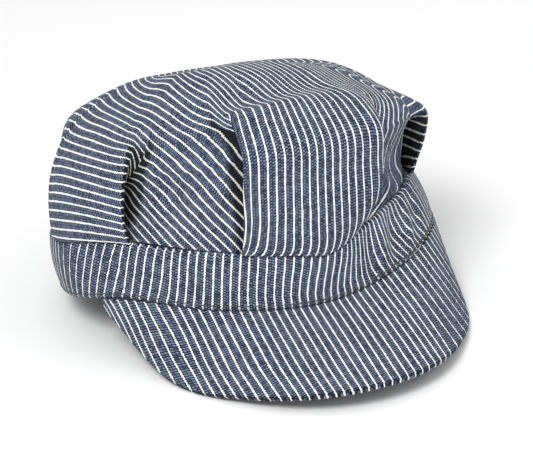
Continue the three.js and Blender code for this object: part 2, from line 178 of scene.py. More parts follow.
# The seam round the visor's rim, darkened with painted shade of its underside, from one share of its
# thickness to another
VISOR_SEAM_SHADE = {"shade": 0.8, "low": -0.95, "high": -0.1}

# How far a panel's cloth lies round from an even share, in mm, at four places across it, from the seam to
# the middle of the top at CLOTH_SHIFT_ROWS. The panels at the back take theirs from their neighbours.
CLOTH_SHIFT_ROWS = [0, 1, 2, 3, 4, 4.7, 5.4, 6.2, 8]
CLOTH_SHIFT = {
    "right_side": [
        [-20.1, -17.7, -15.5, -13.4],
        [-20.1, -17.7, -15.3, -11.8],
        [-20.2, -17.7, -14.1, -9.9],
        [-20.3, -16.8, -11.8, -8.4],
        [-20.0, -15.5, -10.4, -6.6],
        [-19.0, -14.3, -9.8, -4.0],
        [-17.4, -13.1, -7.9, -3.2],
        [-15.8, -11.0, -5.5, -2.1],
        [0.0, 0.0, 0.0, 0.0],
    ],
    "right_corner": [
        [-19.9, -6.1, 6.2, 14.3],
        [-17.1, -2.5, 7.9, 12.1],
        [-13.3, 0.6, 9.3, 10.3],
        [-7.8, 1.9, 7.7, 7.5],
        [-2.7, 1.3, 3.0, 2.7],
        [-2.7, -0.5, 0.7, -1.8],
        [-2.7, -0.7, 1.4, 1.5],
        [-1.9, 2.1, 5.5, 7.7],
        [0.0, 0.0, 0.0, 0.0],
    ],
    "front": [
        [-6.3, -6.0, -4.1, -2.0],
        [-3.3, 0.5, 2.5, 2.1],
        [-2.1, 1.0, 3.6, 3.5],
        [-1.6, 1.1, 4.1, 3.9],
        [-3.0, 0.4, 6.0, 6.1],
        [-2.4, -0.4, 8.1, 10.0],
        [1.4, 4.0, 13.0, 15.4],
        [7.7, 12.5, 17.3, 18.1],
        [0.0, 0.0, 0.0, 0.0],
    ],
    "left_corner": [
        [-2.5, -11.3, -20.3, -8.0],
        [-1.6, -6.4, -12.5, 4.0],
        [-0.6, -1.9, -4.1, 12.0],
        [1.2, 3.5, 6.6, 10.0],
        [4.7, 10.5, 13.0, 9.0],
        [9.0, 14.0, 14.5, 9.0],
        [14.7, 16.5, 15.0, 10.0],
        [17.9, 17.0, 14.0, 11.0],
        [0.0, 0.0, 0.0, 0.0],
    ],
}

# How much further the cloth beside the front pleat lies round, in mm, at nine places across that panel and
# at every half row from the seam, so that its stripes run straight over the dent
RIGHT_CORNER_PANEL = 7
RIGHT_CORNER_TRIM = [
    [0.0, -0.4, -0.1, 0.1, 0.3, 0.1, -0.5, -0.5, 0.0],
    [0.0, -0.3, 0.0, 0.1, 0.4, 0.4, -0.1, -0.1, 0.0],
    [0.0, 0.0, -0.1, -0.5, 0.1, 0.5, 0.4, 0.4, 0.0],
    [0.0, 0.0, -0.6, -1.3, -0.7, -0.3, 0.0, 0.2, 0.0],
    [0.0, 0.7, 0.0, 0.2, -0.4, -0.3, 0.1, 0.4, 0.0],
    [0.0, 1.2, 1.5, 2.0, 0.4, 0.3, 0.5, 0.6, 0.0],
    [0.0, -0.9, 0.2, 0.5, -0.7, -0.8, -0.6, -0.5, 0.0],
    [0.0, -1.5, -0.5, -0.3, -0.5, -0.4, -0.3, -0.2, 0.0],
    [0.0, 0.0, 0.3, 0.5, 0.7, 0.8, 0.8, 0.8, 0.0],
    [0.0, 0.4, 0.2, 0.0, -0.3, -0.5, -0.6, -0.5, 0.0],
    [0.0] * 9,
    [0.0] * 9,
]

# From which row, and over how many, the left corner's shift spreads behind it, the cloth in a fold opens
# out, and the stripes at the back straighten, which starts a little ahead of the sides. A fold's cloth
# jumps from one panel's shift to the next one's at a share of the fold, before a pleat and a side panel.
LEFT_SPREAD = {"start": 3.4, "over": 3}
FOLD_OPENING = {"start": 3.3, "over": 1.2}
BACK_STRAIGHT = {"start": 3.5, "over": 1.5}
BACK_STRAIGHT_AHEAD = 0.15
FOLD_JUMP = (-0.8, -0.2)
# How much of its eighth of the way round a panel's cloth may fill
EIGHTH_FILL = 0.98

# How far the band's stripes lie round from upright lines, in mm, at five heights from its lower edge up, at
# degrees from the front towards the wearer's left
BAND_SHIFT = {
    -160: [0.0, 0.0, 0.0, 0.0, 0.0],
    -105: [27.0, 25.0, 23.0, 22.0, 21.0],
    -90: [20.3, 18.4, 16.6, 15.9, 15.5],
    -75: [11.4, 8.2, 5.2, 2.8, 0.5],
    -60: [1.7, -1.6, -4.3, -6.5, -8.9],
    -45: [-2.6, -5.5, -7.8, -9.4, -11.3],
    -30: [-3.3, -4.8, -6.4, -7.7, -9.2],
    -15: [-2.1, -2.3, -3.5, -5.1, -6.3],
    0: [1.1, 1.3, -0.2, -2.4, -4.1],
    8: [3.6, 4.5, 3.1, 0.2, -1.6],
    16: [5.2, 8.0, 9.2, 9.2, 9.5],
    24: [3.3, 9.0, 13.9, 17.2, 19.9],
    32: [4.9, 13.3, 20.3, 24.7, 27.8],
    40: [5.6, 12.4, 18.0, 22.1, 26.0],
    50: [4.7, 8.6, 11.7, 14.2, 16.8],
    75: [3.0, 3.0, 3.0, 3.0, 3.0],
    160: [0.0, 0.0, 0.0, 0.0, 0.0],
}

# How far the visor's stripes lie to the wearer's left of its forward rulings, in mm, from root to rim, at
# shares of the way from its middle to an end
VISOR_SHIFT_PLACES = [0.0, 0.35, 0.7, 1.0]
VISOR_SHIFT = {
    -0.95: [7.8, 5.8, 3.8, 1.8],
    -0.65: [-1.8, -4.5, -6.3, -8.7],
    -0.35: [-3.3, -3.4, -4.0, -6.1],
    0.0: [1.1, 2.2, 3.3, 4.5],
    0.35: [7.9, 7.6, 8.1, 8.9],
    0.65: [6.5, 3.9, 0.8, -1.9],
    0.95: [2.6, -2.0, -6.5, -11.0],
}

# Painted shade beside a pleat's edge, on the panel and at the end of it that the edge lies on: how far it
# reaches at each row from the seam to the ridge, in mm. Under a pleat, painted shade fills the fold before
# each panel from one share of the fold to another, up to a row.
FOLD_SHADE = [
    {"panel": 1, "end": 0, "reach": [0.2, 0.3, 0.5, 0.6, 0.8, 1.2, 0.0]},
    {"panel": 1, "end": 1, "reach": [0.0, 0.3, 0.5, 0.5, 0.0, 0.0, 0.0]},
    {"panel": 7, "end": 0, "reach": [10.0, 13.2, 13.4, 11.8, 3.0, 0.0, 0.0]},
    {"panel": 7, "end": 1, "reach": [18.8, 19.0, 17.2, 14.2, 7.6, 0.8, 0.0]},
]
BACK_SHADE = [1.0, 2.0, 2.5, 2.5, 0.0, 0.0, 0.0]
FOLD_SHADE += [{"panel": panel, "end": end, "reach": BACK_SHADE} for panel in (3, 5) for end in (0, 1)]
UNDER_SHADE = {
    0: (-1.01, -0.25, 4.3),
    1: (-0.75, 0.0, 4.0),
    2: (-1.01, -0.2, 3.2),
    3: (-0.75, 0.0, 3.7),
    4: (-1.01, -0.25, 3.7),
    5: (-0.75, 0.0, 3.7),
    6: (-1.01, -0.25, 3.7),
    7: (-0.85, 0.0, 4.3),
}
SHADE_EDGE = 1.2
SHADE_TOP = 6
UNDER_SHADE_FADE = 0.3

# The fold under the wearer's left pleat, whose stripes fall towards its edge by this much, in mm, up to a
# share of the fold
LEANING_FOLD = 2
FOLD_LEAN = 9.0
FOLD_LEAN_END = -0.5

# The stitches above the band's lower edge, heavier where its sewing shows most. One reaches a share of the
# pitch both ways, and its ends taper and dip into the cloth.
STITCH_UP = 2.5
STITCH_STAND = 0.1
STITCH_PITCH = 3.3
STITCH_REACH = 0.46
STITCH_RADIUS = 0.3
STITCH_TAPER = 0.85
STITCH_DIP = 0.35
THREAD_TWIST = 0.8
STITCH_HEAVY = {"at": 42, "half": 34, "more": 0.3}

# How finely the meshes are cut
FOLD_STEPS = 5
BOX_STEPS = 24
SIDE_STEPS = 26
LEVELS_PER_ROW = 14
OUTLINE_STEPS = 720
BAND_COLUMNS = 480
BAND_LEVELS = 24
VISOR_COLUMNS = 120
VISOR_ROWS = 40
NOSE_STEPS = 8
STITCH_PATH_STEPS = 2880
STITCH_RINGS = 7
STITCH_SIDES = 6


# Number helpers
def bump(distance):
    return np.where(np.abs(distance) < 1, (1 + np.cos(np.pi * np.clip(distance, -1, 1))) / 2, 0.0)


def mix(a, b, share):
    return a + (b - a) * share


def ramp(value, start, over):
    return min(max((value - start) / over, 0), 1)


def spline(before, start, end, after, share):
    bend = 2 * before - 5 * start + 4 * end - after
    twist = 3 * (start - end) + after - before
    return start + 0.5 * share * (end - before + share * (bend + share * twist))


def along(values, row):
    """A smooth value of a column at a fractional row, the ends held."""
    values, row = np.asarray(values, float), np.asarray(row, float)
    start = np.clip(np.floor(row).astype(int), 0, len(values) - 2)
    at = lambda index: values[np.clip(index, 0, len(values) - 1)]
    return spline(at(start - 1), at(start), at(start + 1), at(start + 2), row - start)


def around(values, angle):
    """A smooth value of a column whose rows go once round, at an angle from the front."""
    values = np.asarray(values, float)
    place = (np.asarray(angle, float) / (2 * np.pi)) % 1 * len(values)
    start = np.floor(place).astype(int)
    at = lambda index: values[index % len(values)]
    return spline(at(start - 1), at(start), at(start + 1), at(start + 2), place - start)


def unit(vectors):
    return vectors / np.maximum(np.linalg.norm(vectors, axis=-1, keepdims=True), 1e-9)


def walked(points):
    """How far each point is along the line through them all."""
    return np.concatenate([[0], np.cumsum(np.linalg.norm(np.diff(points, axis=0), axis=1))])


# The cap's surfaces
def outline(angle):
    """The band's outline and its outward normal."""
    angle = np.asarray(angle, float)
    flat = np.zeros_like(angle)
    point = np.stack([BAND_HALF_WIDTH * np.sin(angle), -BAND_HALF_LENGTH * np.cos(angle), flat], -1)
    normal = unit(np.stack([np.sin(angle) / BAND_HALF_WIDTH, -np.cos(angle) / BAND_HALF_LENGTH, flat], -1))
    return point, normal


def band_point(angle, up):
    point, normal = outline(angle)
    arch = np.sin(np.pi * np.clip(up, 0, 1))
    out = around(BAND_STATIONS["lean"], angle) * up + around(BAND_STATIONS["swell"], angle) * arch
    degrees = (np.degrees(angle) + 180) % 360 - 180
    for wrinkle in BAND_WRINKLES:
        out = out + wrinkle["depth"] * arch * bump((degrees - wrinkle["at"]) / wrinkle["spread"])
    point = point + normal * (out * BAND_HEIGHT)[..., None]
    height = around(BAND_STATIONS["height"], angle)
    height = height - BAND_SAG["drop"] * bump((degrees - BAND_SAG["at"]) / BAND_SAG["spread"])
    point[..., 2] = (around(BAND_STATIONS["lift"], angle) + height * up) * BAND_HEIGHT
    return point


def crown_mix(angle, row, quantity):
    ahead, aside = np.cos(angle), np.sin(angle)
    sides = ("front_", "back_", "left_", "right_")
    front, back, left, right = (along(CROWN_ROWS[side + quantity], row) for side in sides)
    return np.where(ahead > 0, front, back) * ahead**2 + np.where(aside > 0, left, right) * aside**2


def crown_point(angle, row):
    """A point of the crown's unpleated surface."""
    angle, row = np.broadcast_arrays(np.asarray(angle, float), np.asarray(row, float))
    point, normal = outline(angle)
    point = point * crown_mix(angle, row, "reach")[..., None]
    seam_share = np.clip(1 - row / BROW_ROW, 0, 1) ** 2
    lean = around(BAND_STATIONS["lean"], angle) * BAND_HEIGHT * seam_share
    point = point + normal * lean[..., None]
    seam = band_point(angle, np.ones_like(angle))[..., 2]
    point[..., 2] = mix(BAND_HEIGHT, seam, seam_share) + crown_mix(angle, row, "rise") * CROWN_HEIGHT
    upwards = np.clip(row / BROW_ROW, 0, 1) ** 3
    outwards = normal * (1 - upwards)[..., None]
    outwards[..., 2] = upwards
    for fold in CROWN_FOLDS:
        turn = (np.degrees(angle) - fold["angle"] + 180) % 360 - 180
        share = bump(turn / fold["half_angle"]) * bump((row - fold["row"]) / fold["half_row"])
        point = point + outwards * (share * fold["height"] * CROWN_HEIGHT)[..., None]
    return point


def fold_line(sweep, underlap, spread):
    """The middle line of the cloth at a pleat's edge: along, depth and heading."""
    radius = (CLOTH + PLEAT_GAP) / 2
    turned = sweep * np.arange(FOLD_STEPS + 1) / FOLD_STEPS
    left = turned[::-1]
    first = np.stack([radius * np.sin(turned), radius * (1 - np.cos(turned)), -turned], -1)
    reach = radius * np.sin(sweep) + underlap * np.cos(sweep)
    drop = radius * (1 - np.cos(sweep)) + underlap * np.sin(sweep)
    second = np.stack(
        [
            reach + radius * (np.sin(sweep) - np.sin(left)),
            drop + radius * (np.cos(left) - np.cos(sweep)),
            -left,
        ],
        -1,
    )
    line = np.concatenate([first, second])
    line[:, 0] += spread * (np.linspace(0, 1, len(line)) - 0.5)
    return line


def crown_section(row, perimeter, brow_perimeter):
    """Places on the cloth's middle line, once round: along, depth, heading, and which are in folds."""
    narrowing = min(1.0, perimeter / brow_perimeter)
    half_width = PLEAT_WIDTH / 2 * narrowing
    edge_radius = CLOTH + PLEAT_GAP / 2
    opening = float(bump((row - BROW_ROW / 2) / BROW_ROW))
    edges = []
    for pleat in PLEATS:
        for side, edge in ((-1, "before"), (1, "after")):
            shape = pleat[edge]
            held_row = row - shape["hold"] * min(row / BROW_ROW, 1)
            sweep_there = float(along(CROWN_ROWS["sweep"], held_row))
            underlap = max(0.0, float(along(CROWN_ROWS["underlap"], held_row))) * PLEAT_UNDERLAP
            spread = (1 - min(max(sweep_there, 0), 180) / 180) * PLEAT_UNDERLAP * narrowing
            sweep = math.radians(min(max(sweep_there - shape["gape"] * opening, 0), 180))
            inset = edge_radius * min(1, sweep_there / 90)
            start = pleat["centre"] * perimeter + side * (half_width - inset)
            pinch = side * shape["pinch"] * max(1 - row / PINCH_ROW, 0) ** 2
            start += (shape["slant"] * min(row / BROW_ROW, 1) - pinch) * PLEAT_WIDTH * narrowing
            line = fold_line(sweep, underlap, spread)
            line[:, 0] = start + side * line[:, 0]
            line[:, 2] *= side
            edges.append(line if side > 0 else line[::-1])
    around_again = edges[0].copy()
    around_again[:, 0] += perimeter
    places, folds = [], []
    for index, line in enumerate(edges):
        follows = edges[index + 1] if index + 1 < len(edges) else around_again
        steps = BOX_STEPS if index % 2 == 0 else SIDE_STEPS
        share = (np.arange(steps - 1) + 1)[:, None] / steps
        panel = mix(line[-1], follows[0], share)
        panel[:, 2] = 0
        places += [line, panel]
        folds += [np.ones(len(line)), np.zeros(len(panel))]
    return np.concatenate(places), np.concatenate(folds)


def crown_frames(distance, row):
    """Points, tangents and outward normals at distances along one level, and its perimeter and angles."""
    angles = np.linspace(0, 2 * np.pi, OUTLINE_STEPS + 1)
    ring = crown_point(angles, np.full_like(angles, row))
    lengths = walked(ring)
    perimeter = lengths[-1]
    if distance is None:
        return perimeter
    turns = np.floor(distance / perimeter)
    angle = np.interp(distance - turns * perimeter, lengths, angles)
    rows = np.full_like(angle, row)
    nudge = 0.02
    tangent = unit(crown_point(angle + nudge, rows) - crown_point(angle - nudge, rows))
    above, below = np.minimum(rows + nudge, POLE_ROW), np.maximum(rows - nudge, 0)
    upward = crown_point(angle, above) - crown_point(angle, below)
    upright = np.zeros_like(upward)
    upright[..., 2] = np.linalg.norm(upward, axis=-1)
    upward = mix(upward, upright, np.clip(1 - row, 0, 1))
    outward = unit(np.cross(tangent, upward))
    return crown_point(angle, rows), tangent, outward, angle + turns * 2 * np.pi


# Meshes
def add_object(name, data):
    obj = bpy.data.objects.new(name, data)
    bpy.context.scene.collection.objects.link(obj)
    return obj


def stripe_pace(points, faces, cloth):
    """How fast the coordinate across the stripes runs at each point, per mm of surface, at most 1."""
    sizes = np.array([len(face) for face in faces])
    quads = np.array([(list(face) + [face[-1]] * 2)[:4] for face in faces])
    corner = (np.cumsum(sizes) - sizes)[:, None] + np.minimum(np.arange(4), sizes[:, None] - 1)
    place = points[quads] / MM
    value = cloth[corner, 0] / CLOTH_UNIT
    side = (place[:, 1] + place[:, 2] - place[:, 0] - place[:, 3]) / 2
    rise = (place[:, 2] + place[:, 3] - place[:, 0] - place[:, 1]) / 2
    by_side = (value[:, 1] + value[:, 2] - value[:, 0] - value[:, 3]) / 2
    by_rise = (value[:, 2] + value[:, 3] - value[:, 0] - value[:, 1]) / 2
    a, b, c = (side * side).sum(-1), (side * rise).sum(-1), (rise * rise).sum(-1)
    slope = c * by_side**2 - 2 * b * by_side * by_rise + a * by_rise**2
    slope = slope / np.maximum(a * c - b * b, 1e-6)
    pace = np.clip(np.sqrt(np.maximum(slope, 0)), LEAST_PACE, 1)
    total, count = np.zeros(len(points)), np.zeros(len(points))
    np.add.at(total, quads.ravel(), np.repeat(pace, 4))
    np.add.at(count, quads.ravel(), 1)
    return total / np.maximum(count, 1)


def make_mesh(name, points, faces, cloth, material_index=None, extra=None):
    """A mesh object from points, faces and the cloth coordinates of each face corner."""
    mesh = bpy.data.meshes.new(name)
    mesh.from_pydata([tuple(p) for p in points], [], faces)
    uv = mesh.uv_layers.new(name="cloth")
    uv.data.foreach_set("uv", np.asarray(cloth, np.float32).ravel())
    if material_index is not None:
        mesh.polygons.foreach_set("material_index", material_index)
    mesh.polygons.foreach_set("use_smooth", np.ones(len(mesh.polygons), bool))
    extra = {"pace": stripe_pace(np.asarray(points), faces, np.asarray(cloth)), **(extra or {})}
    for key, values in extra.items():
        attribute = mesh.attributes.new(key, "FLOAT", "POINT")
        attribute.data.foreach_set("value", np.asarray(values, np.float32))
    mesh.validate()
    mesh.update()
    return add_object(name, mesh)


def cloth_radii():
    """A function of angle and row: the cloth's length down the profile from the middle of the top."""
    fine_rows = np.linspace(0, POLE_ROW, 161)
    fine_angles = np.linspace(0, 2 * np.pi, 73)
    grid = crown_point(fine_angles[None, :], fine_rows[:, None])
    steps = np.linalg.norm(np.diff(grid, axis=0), axis=2)
    radii = np.concatenate([np.cumsum(steps[::-1], axis=0)[::-1], np.zeros((1, len(fine_angles)))])

    def radius(angle, row):
        column = (angle % (2 * np.pi)) / (2 * np.pi) * (len(fine_angles) - 1)
        low = np.clip(np.floor(column).astype(int), 0, len(fine_angles) - 2)
        level = row / POLE_ROW * (len(fine_rows) - 1)
        base = min(int(level), len(fine_rows) - 2)
        at = lambda r: mix(radii[r, low], radii[r, low + 1], column - low)
        return mix(at(base), at(base + 1), level - base)

    return radius


def crown_mesh():
    brow_perimeter = crown_frames(None, BROW_ROW)
    levels = np.arange(POLE_ROW * LEVELS_PER_ROW) / LEVELS_PER_ROW
    cloth_radius = cloth_radii()

    outer, inner, cloth, shade = [], [], [], []
    half = CLOTH / 2
    lift = half + PLEAT_GAP
    for row in levels:
        perimeter = crown_frames(None, row)
        places, folds = crown_section(row, perimeter, brow_perimeter)
        point, tangent, outward, angle = crown_frames(places[:, 0], row)
        middle = point + outward * (lift - places[:, 1])[:, None]
        across = -np.sin(places[:, 2])[:, None] * tangent + np.cos(places[:, 2])[:, None] * outward
        outer.append(middle + across * half)
        inner.append(middle - across * half)
        coordinates = stripe_walk(middle, folds, cloth_radius(angle, row), angle, row)
        coordinates[:, 0] += cloth_shift(row)
        cloth.append(coordinates)
        # Painted shade under and beside the pleats, kept on each point
        shade.append(fold_shade(middle, row))
    columns = len(outer[0])
    outer, inner, cloth = np.array(outer), np.array(inner), np.array(cloth)
    pole = crown_point(0.0, float(POLE_ROW))
    tip = [pole + [0, 0, lift], pole + [0, 0, lift - CLOTH]]
    points = np.concatenate([outer.reshape(-1, 3), inner.reshape(-1, 3), tip])
    uv_points = np.concatenate([cloth.reshape(-1, 2), cloth.reshape(-1, 2), [[0, 0], [0, 0]]]) * CLOTH_UNIT
    count = len(levels) * columns
    column = np.arange(columns)
    after = (column + 1) % columns
    faces, slots = [], []

    def add_faces(corners, slot):
        faces.extend(np.stack(corners, -1).tolist())
        slots.extend([slot] * columns)

    for start in range(0, count - columns, columns):
        a, b = start + column, start + after
        add_faces([a, b, b + columns, a + columns], 0)
        add_faces([a + count, a + columns + count, b + columns + count, b + count], 1)
    add_faces([after, column, column + count, after + count], 0)
    a, b = count - columns + column, count - columns + after
    add_faces([a, b, np.full(columns, 2 * count)], 0)
    add_faces([b + count, a + count, np.full(columns, 2 * count + 1)], 1)
    corners = np.concatenate([uv_points[face] for face in faces])
    shades = np.concatenate([np.concatenate(shade), np.concatenate(shade), [0, 0]])
    return make_mesh("crown_cloth", points * MM, faces, corners, slots, {"shade": shades})


def panel_places():
    """Each column's panel and its share across it. A fold's columns run from -1 to 0, before its panel."""
    fold_columns = 2 * (FOLD_STEPS + 1)
    panels, shares = [], []
    for index in range(2 * len(PLEATS)):
        steps = BOX_STEPS if index % 2 == 0 else SIDE_STEPS
        panels += [index] * (fold_columns + steps - 1)
        shares += list(np.linspace(-1, 0, fold_columns)) + list((np.arange(steps - 1) + 1) / steps)
    return np.array(panels), np.array(shares)


def cloth_shift(row):
    """How far the cloth of every column at one level lies round from its even share."""
    rows = {}
    level = np.interp(row, CLOTH_SHIFT_ROWS, np.arange(len(CLOTH_SHIFT_ROWS)))
    for name, table in CLOTH_SHIFT.items():
        rows[name] = np.array([along(column, level) for column in np.array(table).T])
    across = np.linspace(0, 1, 4)
    left = rows["left_corner"][-1] * ramp(row, **LEFT_SPREAD)
    right = rows["right_side"][0]
    by_panel = [
        rows["front"],
        rows["left_corner"],
        left * (1 - across / 2),
        left * (1 - across) / 2,
        right * across / 2,
        right * (1 + across) / 2,
        rows["right_side"],
        rows["right_corner"],
    ]
    panels, shares = panel_places()
    out = np.zeros(len(panels))
    open_share = ramp(row, **FOLD_OPENING)
    for index, values in enumerate(by_panel):
        inside = (panels == index) & (shares >= 0)
        curve = np.polyfit(across, values, 3)
        out[inside] = np.polyval(curve, shares[inside])
        fold = (panels == index) & (shares < 0)
        before = by_panel[index - 1][-1]
        turn = FOLD_JUMP[index % 2]
        jump = np.where(shares[fold] < turn, before, values[0])
        if index == LEANING_FOLD:
            jump += np.where((shares[fold] > turn) & (shares[fold] < FOLD_LEAN_END), FOLD_LEAN, 0)
        out[fold] = mix(jump, mix(before, values[0], shares[fold] + 1), open_share)
    half_rows = min(row * 2, len(RIGHT_CORNER_TRIM) - 1)
    trim = [along(column, half_rows) for column in np.array(RIGHT_CORNER_TRIM).T]
    inside = (panels == RIGHT_CORNER_PANEL) & (shares >= 0)
    out[inside] += along(trim, shares[inside] * (len(trim) - 1))
    return out


def fold_shade(middle, row):
    """Painted shade on the cloth, from 0 to 1: under a pleat, and beside its edge on the panel under it."""
    panels, shares = panel_places()
    walk = walked(middle)
    shade = np.zeros(len(panels))
    for dark in FOLD_SHADE:
        reach = along(dark["reach"], row) if row < SHADE_TOP else 0
        if reach <= 0:
            continue
        panel = (panels == dark["panel"]) & (shares >= 0)
        distance = walk[panel][-1] - walk if dark["end"] else walk - walk[panel][0]
        fade = np.clip((reach + SHADE_EDGE / 2 - distance) / SHADE_EDGE, 0, 1)
        shade = np.maximum(shade, np.where(panel, fade * min(reach, 1), 0))
    for index, (start, end, top) in UNDER_SHADE.items():
        under = (panels == index) & (shares > start) & (shares < end)
        shade = np.maximum(shade, np.where(under, ramp(top, row, UNDER_SHADE_FADE), 0))
    return shade


def stripe_walk(middle, folds, radius, angle, row):
    """The cloth coordinates round one level, each panel centred on its own eighth of the way round.

    Above the back pleats the stripes run straight.
    """
    columns = len(middle)
    step = np.linalg.norm(np.roll(middle, -1, axis=0) - middle, axis=1)
    # Runs of columns: fold, panel, fold, panel and so on, with box pleats and side panels taking turns
    starts = np.flatnonzero((folds == 0) & (np.roll(folds, 1) == 1))
    ends = np.flatnonzero((folds == 0) & (np.roll(folds, -1) == 1))
    if ends[0] < starts[0]:
        ends = np.roll(ends, -1)
    centres = []
    for start, end in zip(starts, ends):
        run = np.arange(start, end + 1 if end >= start else end + 1 + columns) % columns
        walk = np.concatenate([[0], np.cumsum(step[run[:-1]])])
        centres.append((run, walk - walk[-1] / 2))
    eighth = np.pi / 4
    known = np.full(columns, np.nan)
    for index, (run, walk) in enumerate(centres):
        # The first run is the front pleat, centred on zero, whose columns come first
        size = radius[run].mean()
        reach = walk[-1] / size
        squeeze = min(1.0, EIGHTH_FILL * eighth / (2 * reach)) if reach > 0 else 1.0
        known[run] = index * eighth + walk / size * squeeze
    for index in range(len(centres)):
        before, after = centres[index][0], centres[(index + 1) % len(centres)][0]
        gap = np.arange(before[-1] + 1, after[0] if after[0] > before[-1] else after[0] + columns) % columns
        low = known[before[-1]]
        high = known[after[0]] + (2 * np.pi if index == len(centres) - 1 else 0)
        path = np.concatenate([[before[-1]], gap])
        walk = np.cumsum(step[path])
        known[gap] = low + (high - low) * walk[:-1] / walk[-1]
    straight = ramp(row, **BACK_STRAIGHT) * np.clip(BACK_STRAIGHT_AHEAD - np.cos(angle), 0, 1)
    known = mix(known, angle, straight)
    return np.stack([radius * np.sin(known), radius * np.cos(known)], -1)


def edge_round(up):
    """How far the band's rounded top and bottom edges stand in from its face."""
    near = min(up, 1 - up) * BAND_HEIGHT
    if near >= BAND_ROLL:
        return 0.0
    return BAND_ROLL - math.sqrt(max(BAND_ROLL * BAND_ROLL - (BAND_ROLL - near) ** 2, 0))


def band_mesh():
    columns = BAND_COLUMNS
    angle = np.linspace(0, 2 * np.pi, columns, endpoint=False) + np.pi
    point, normal = outline(angle)
    length = walked(np.concatenate([point, point[:1]]))
    front = np.interp(2 * np.pi, np.append(angle, angle[0] + 2 * np.pi), length)
    face = [(up, edge_round(up)) for up in np.linspace(0, 1, BAND_LEVELS + 1)]
    profile = face + [(up, BAND_WALL - inward) for up, inward in face[::-1]]
    rings = np.array([band_point(angle, np.full(columns, up)) - normal * inward for up, inward in profile])
    turn = (np.degrees(angle) + 180) % 360 - 180
    table = np.array(list(BAND_SHIFT.values())).T
    shifts = np.array([np.interp(turn, list(BAND_SHIFT), column) for column in table])
    ring_shift = []
    for up, _ in profile:
        level = up * (len(shifts) - 1)
        below = int(level - 1e-9)
        ring_shift.append(mix(shifts[below], shifts[below + 1], level - below))
    faces, corners, slots = [], [], []
    size = len(profile)
    for index in range(size):
        follows = (index + 1) % size
        for column in range(columns):
            spots = ((index, column), (index, column + 1), (follows, column + 1), (follows, column))
            faces.append([ring * columns + col % columns for ring, col in spots])
            for ring, col in spots:
                across = length[col] - front + ring_shift[ring][col % columns]
                corners.append((across * CLOTH_UNIT, profile[ring][0] * BAND_HEIGHT * CLOTH_UNIT))
            slots.append(0 if index < size // 2 else 1)
    return make_mesh("band_cloth", rings.reshape(-1, 3) * MM, faces, corners, slots)


def visor_profile(across):
    """The visor's length and slope at a share of the way from its middle to an end."""
    station = np.abs(across) * (len(VISOR_STATIONS["dip"]) - 1)
    dip = np.radians(along(VISOR_STATIONS["dip"], station))
    return along(VISOR_STATIONS["length"], station) * VISOR_LENGTH, dip


def visor_point(across, out):
    across, out = np.broadcast_arrays(np.asarray(across, float), np.asarray(out, float))
    angle = np.radians(across * VISOR_HALF_ANGLE)
    length, dip = visor_profile(across)
    point, normal = outline(angle)
    point = point - normal * (VISOR_TUCK * np.cos(dip))[..., None]
    point[..., 2] = around(BAND_STATIONS["lift"], angle) * BAND_HEIGHT - VISOR_THICKNESS / 2 * np.cos(dip)
    sideways = VISOR_FAN * np.sin(angle) + math.tan(math.radians(VISOR_SKEW))
    flat = unit(np.stack([sideways, -np.ones_like(sideways)], -1)) * np.cos(dip)[..., None]
    forward = np.concatenate([flat, -np.sin(dip)[..., None]], -1)
    return point + forward * (length * out)[..., None]


def visor_mesh():
    """The visor as one closed sheet. A place in the loop round it has a reach out, a face and a nose."""
    columns, rows = VISOR_COLUMNS, VISOR_ROWS
    loop = [(row / rows, -1.0, 0.0) for row in range(rows)]
    for step in range(NOSE_STEPS + 1):
        turned = math.pi * step / NOSE_STEPS - math.pi / 2
        loop.append((1.0, math.sin(turned), math.cos(turned)))
    loop += [(row / rows, 1.0, 0.0) for row in range(rows - 1, -1, -1)]
    across = np.linspace(-1, 1, columns + 1)
    nudge = 0.01
    inside = np.clip(across, nudge - 1, 1 - nudge)
    middle = visor_point(across, np.full_like(across, 0.5))
    step = np.diff(middle, axis=0)
    ruling = unit(visor_point(inside, 1.0) - visor_point(inside, 0.0))
    between = unit(ruling[:-1] + ruling[1:])
    width = np.linalg.norm(np.cross(step, between), axis=1)
    side = np.concatenate([[0], np.cumsum(width)])
    side -= side[columns // 2]
    length, _ = visor_profile(across)
    rings, uvs = [], []
    for out, face, nose in loop:
        flat_out = np.full_like(across, out)
        sideways = visor_point(inside + nudge, flat_out) - visor_point(inside - nudge, flat_out)
        up = -unit(np.cross(ruling, sideways))
        place = visor_point(across, flat_out) + up * face * VISOR_THICKNESS / 2
        place = place + ruling * ((nose - 1) * out * VISOR_THICKNESS / 2)
        rings.append(place)
        run = length * out + VISOR_THICKNESS / 2 * nose
        shift = [np.interp(out, VISOR_SHIFT_PLACES, shifts) for shifts in VISOR_SHIFT.values()]
        uvs.append(np.stack([side + np.interp(across, list(VISOR_SHIFT), shift), run], -1))
    rings, uvs = np.array(rings), np.array(uvs) * CLOTH_UNIT
    size, count = len(loop), columns + 1
    faces, corners, slots = [], [], []

    def add_face(spots, slot):
        faces.append([row * count + column for row, column in spots])
        corners.extend(tuple(uvs[spot]) for spot in spots)
        slots.append(slot)

    for index in range(size):
        follows = (index + 1) % size
        for column in range(columns):
            spots = [(index, column), (follows, column), (follows, column + 1), (index, column + 1)]
            add_face(spots, 1 if index < rows else 0)
    for column, turn in ((0, 1), (columns, -1)):
        for row in range((size - 2) // 2):
            spots = [(spot, column) for spot in (row, size - 1 - row, size - 2 - row, row + 1)]
            add_face(spots[::turn], 0)
    # The seam under the rim gets painted shade through the shade attribute
    low, high = VISOR_SEAM_SHADE["low"], VISOR_SEAM_SHADE["high"]
    seam = [VISOR_SEAM_SHADE["shade"] if nose > 0 and low < face < high else 0.0 for _, face, nose in loop]
    extra = {"shade": np.repeat(seam, count)}
    return make_mesh("visor_cloth", rings.reshape(-1, 3) * MM, faces, corners, slots, extra)


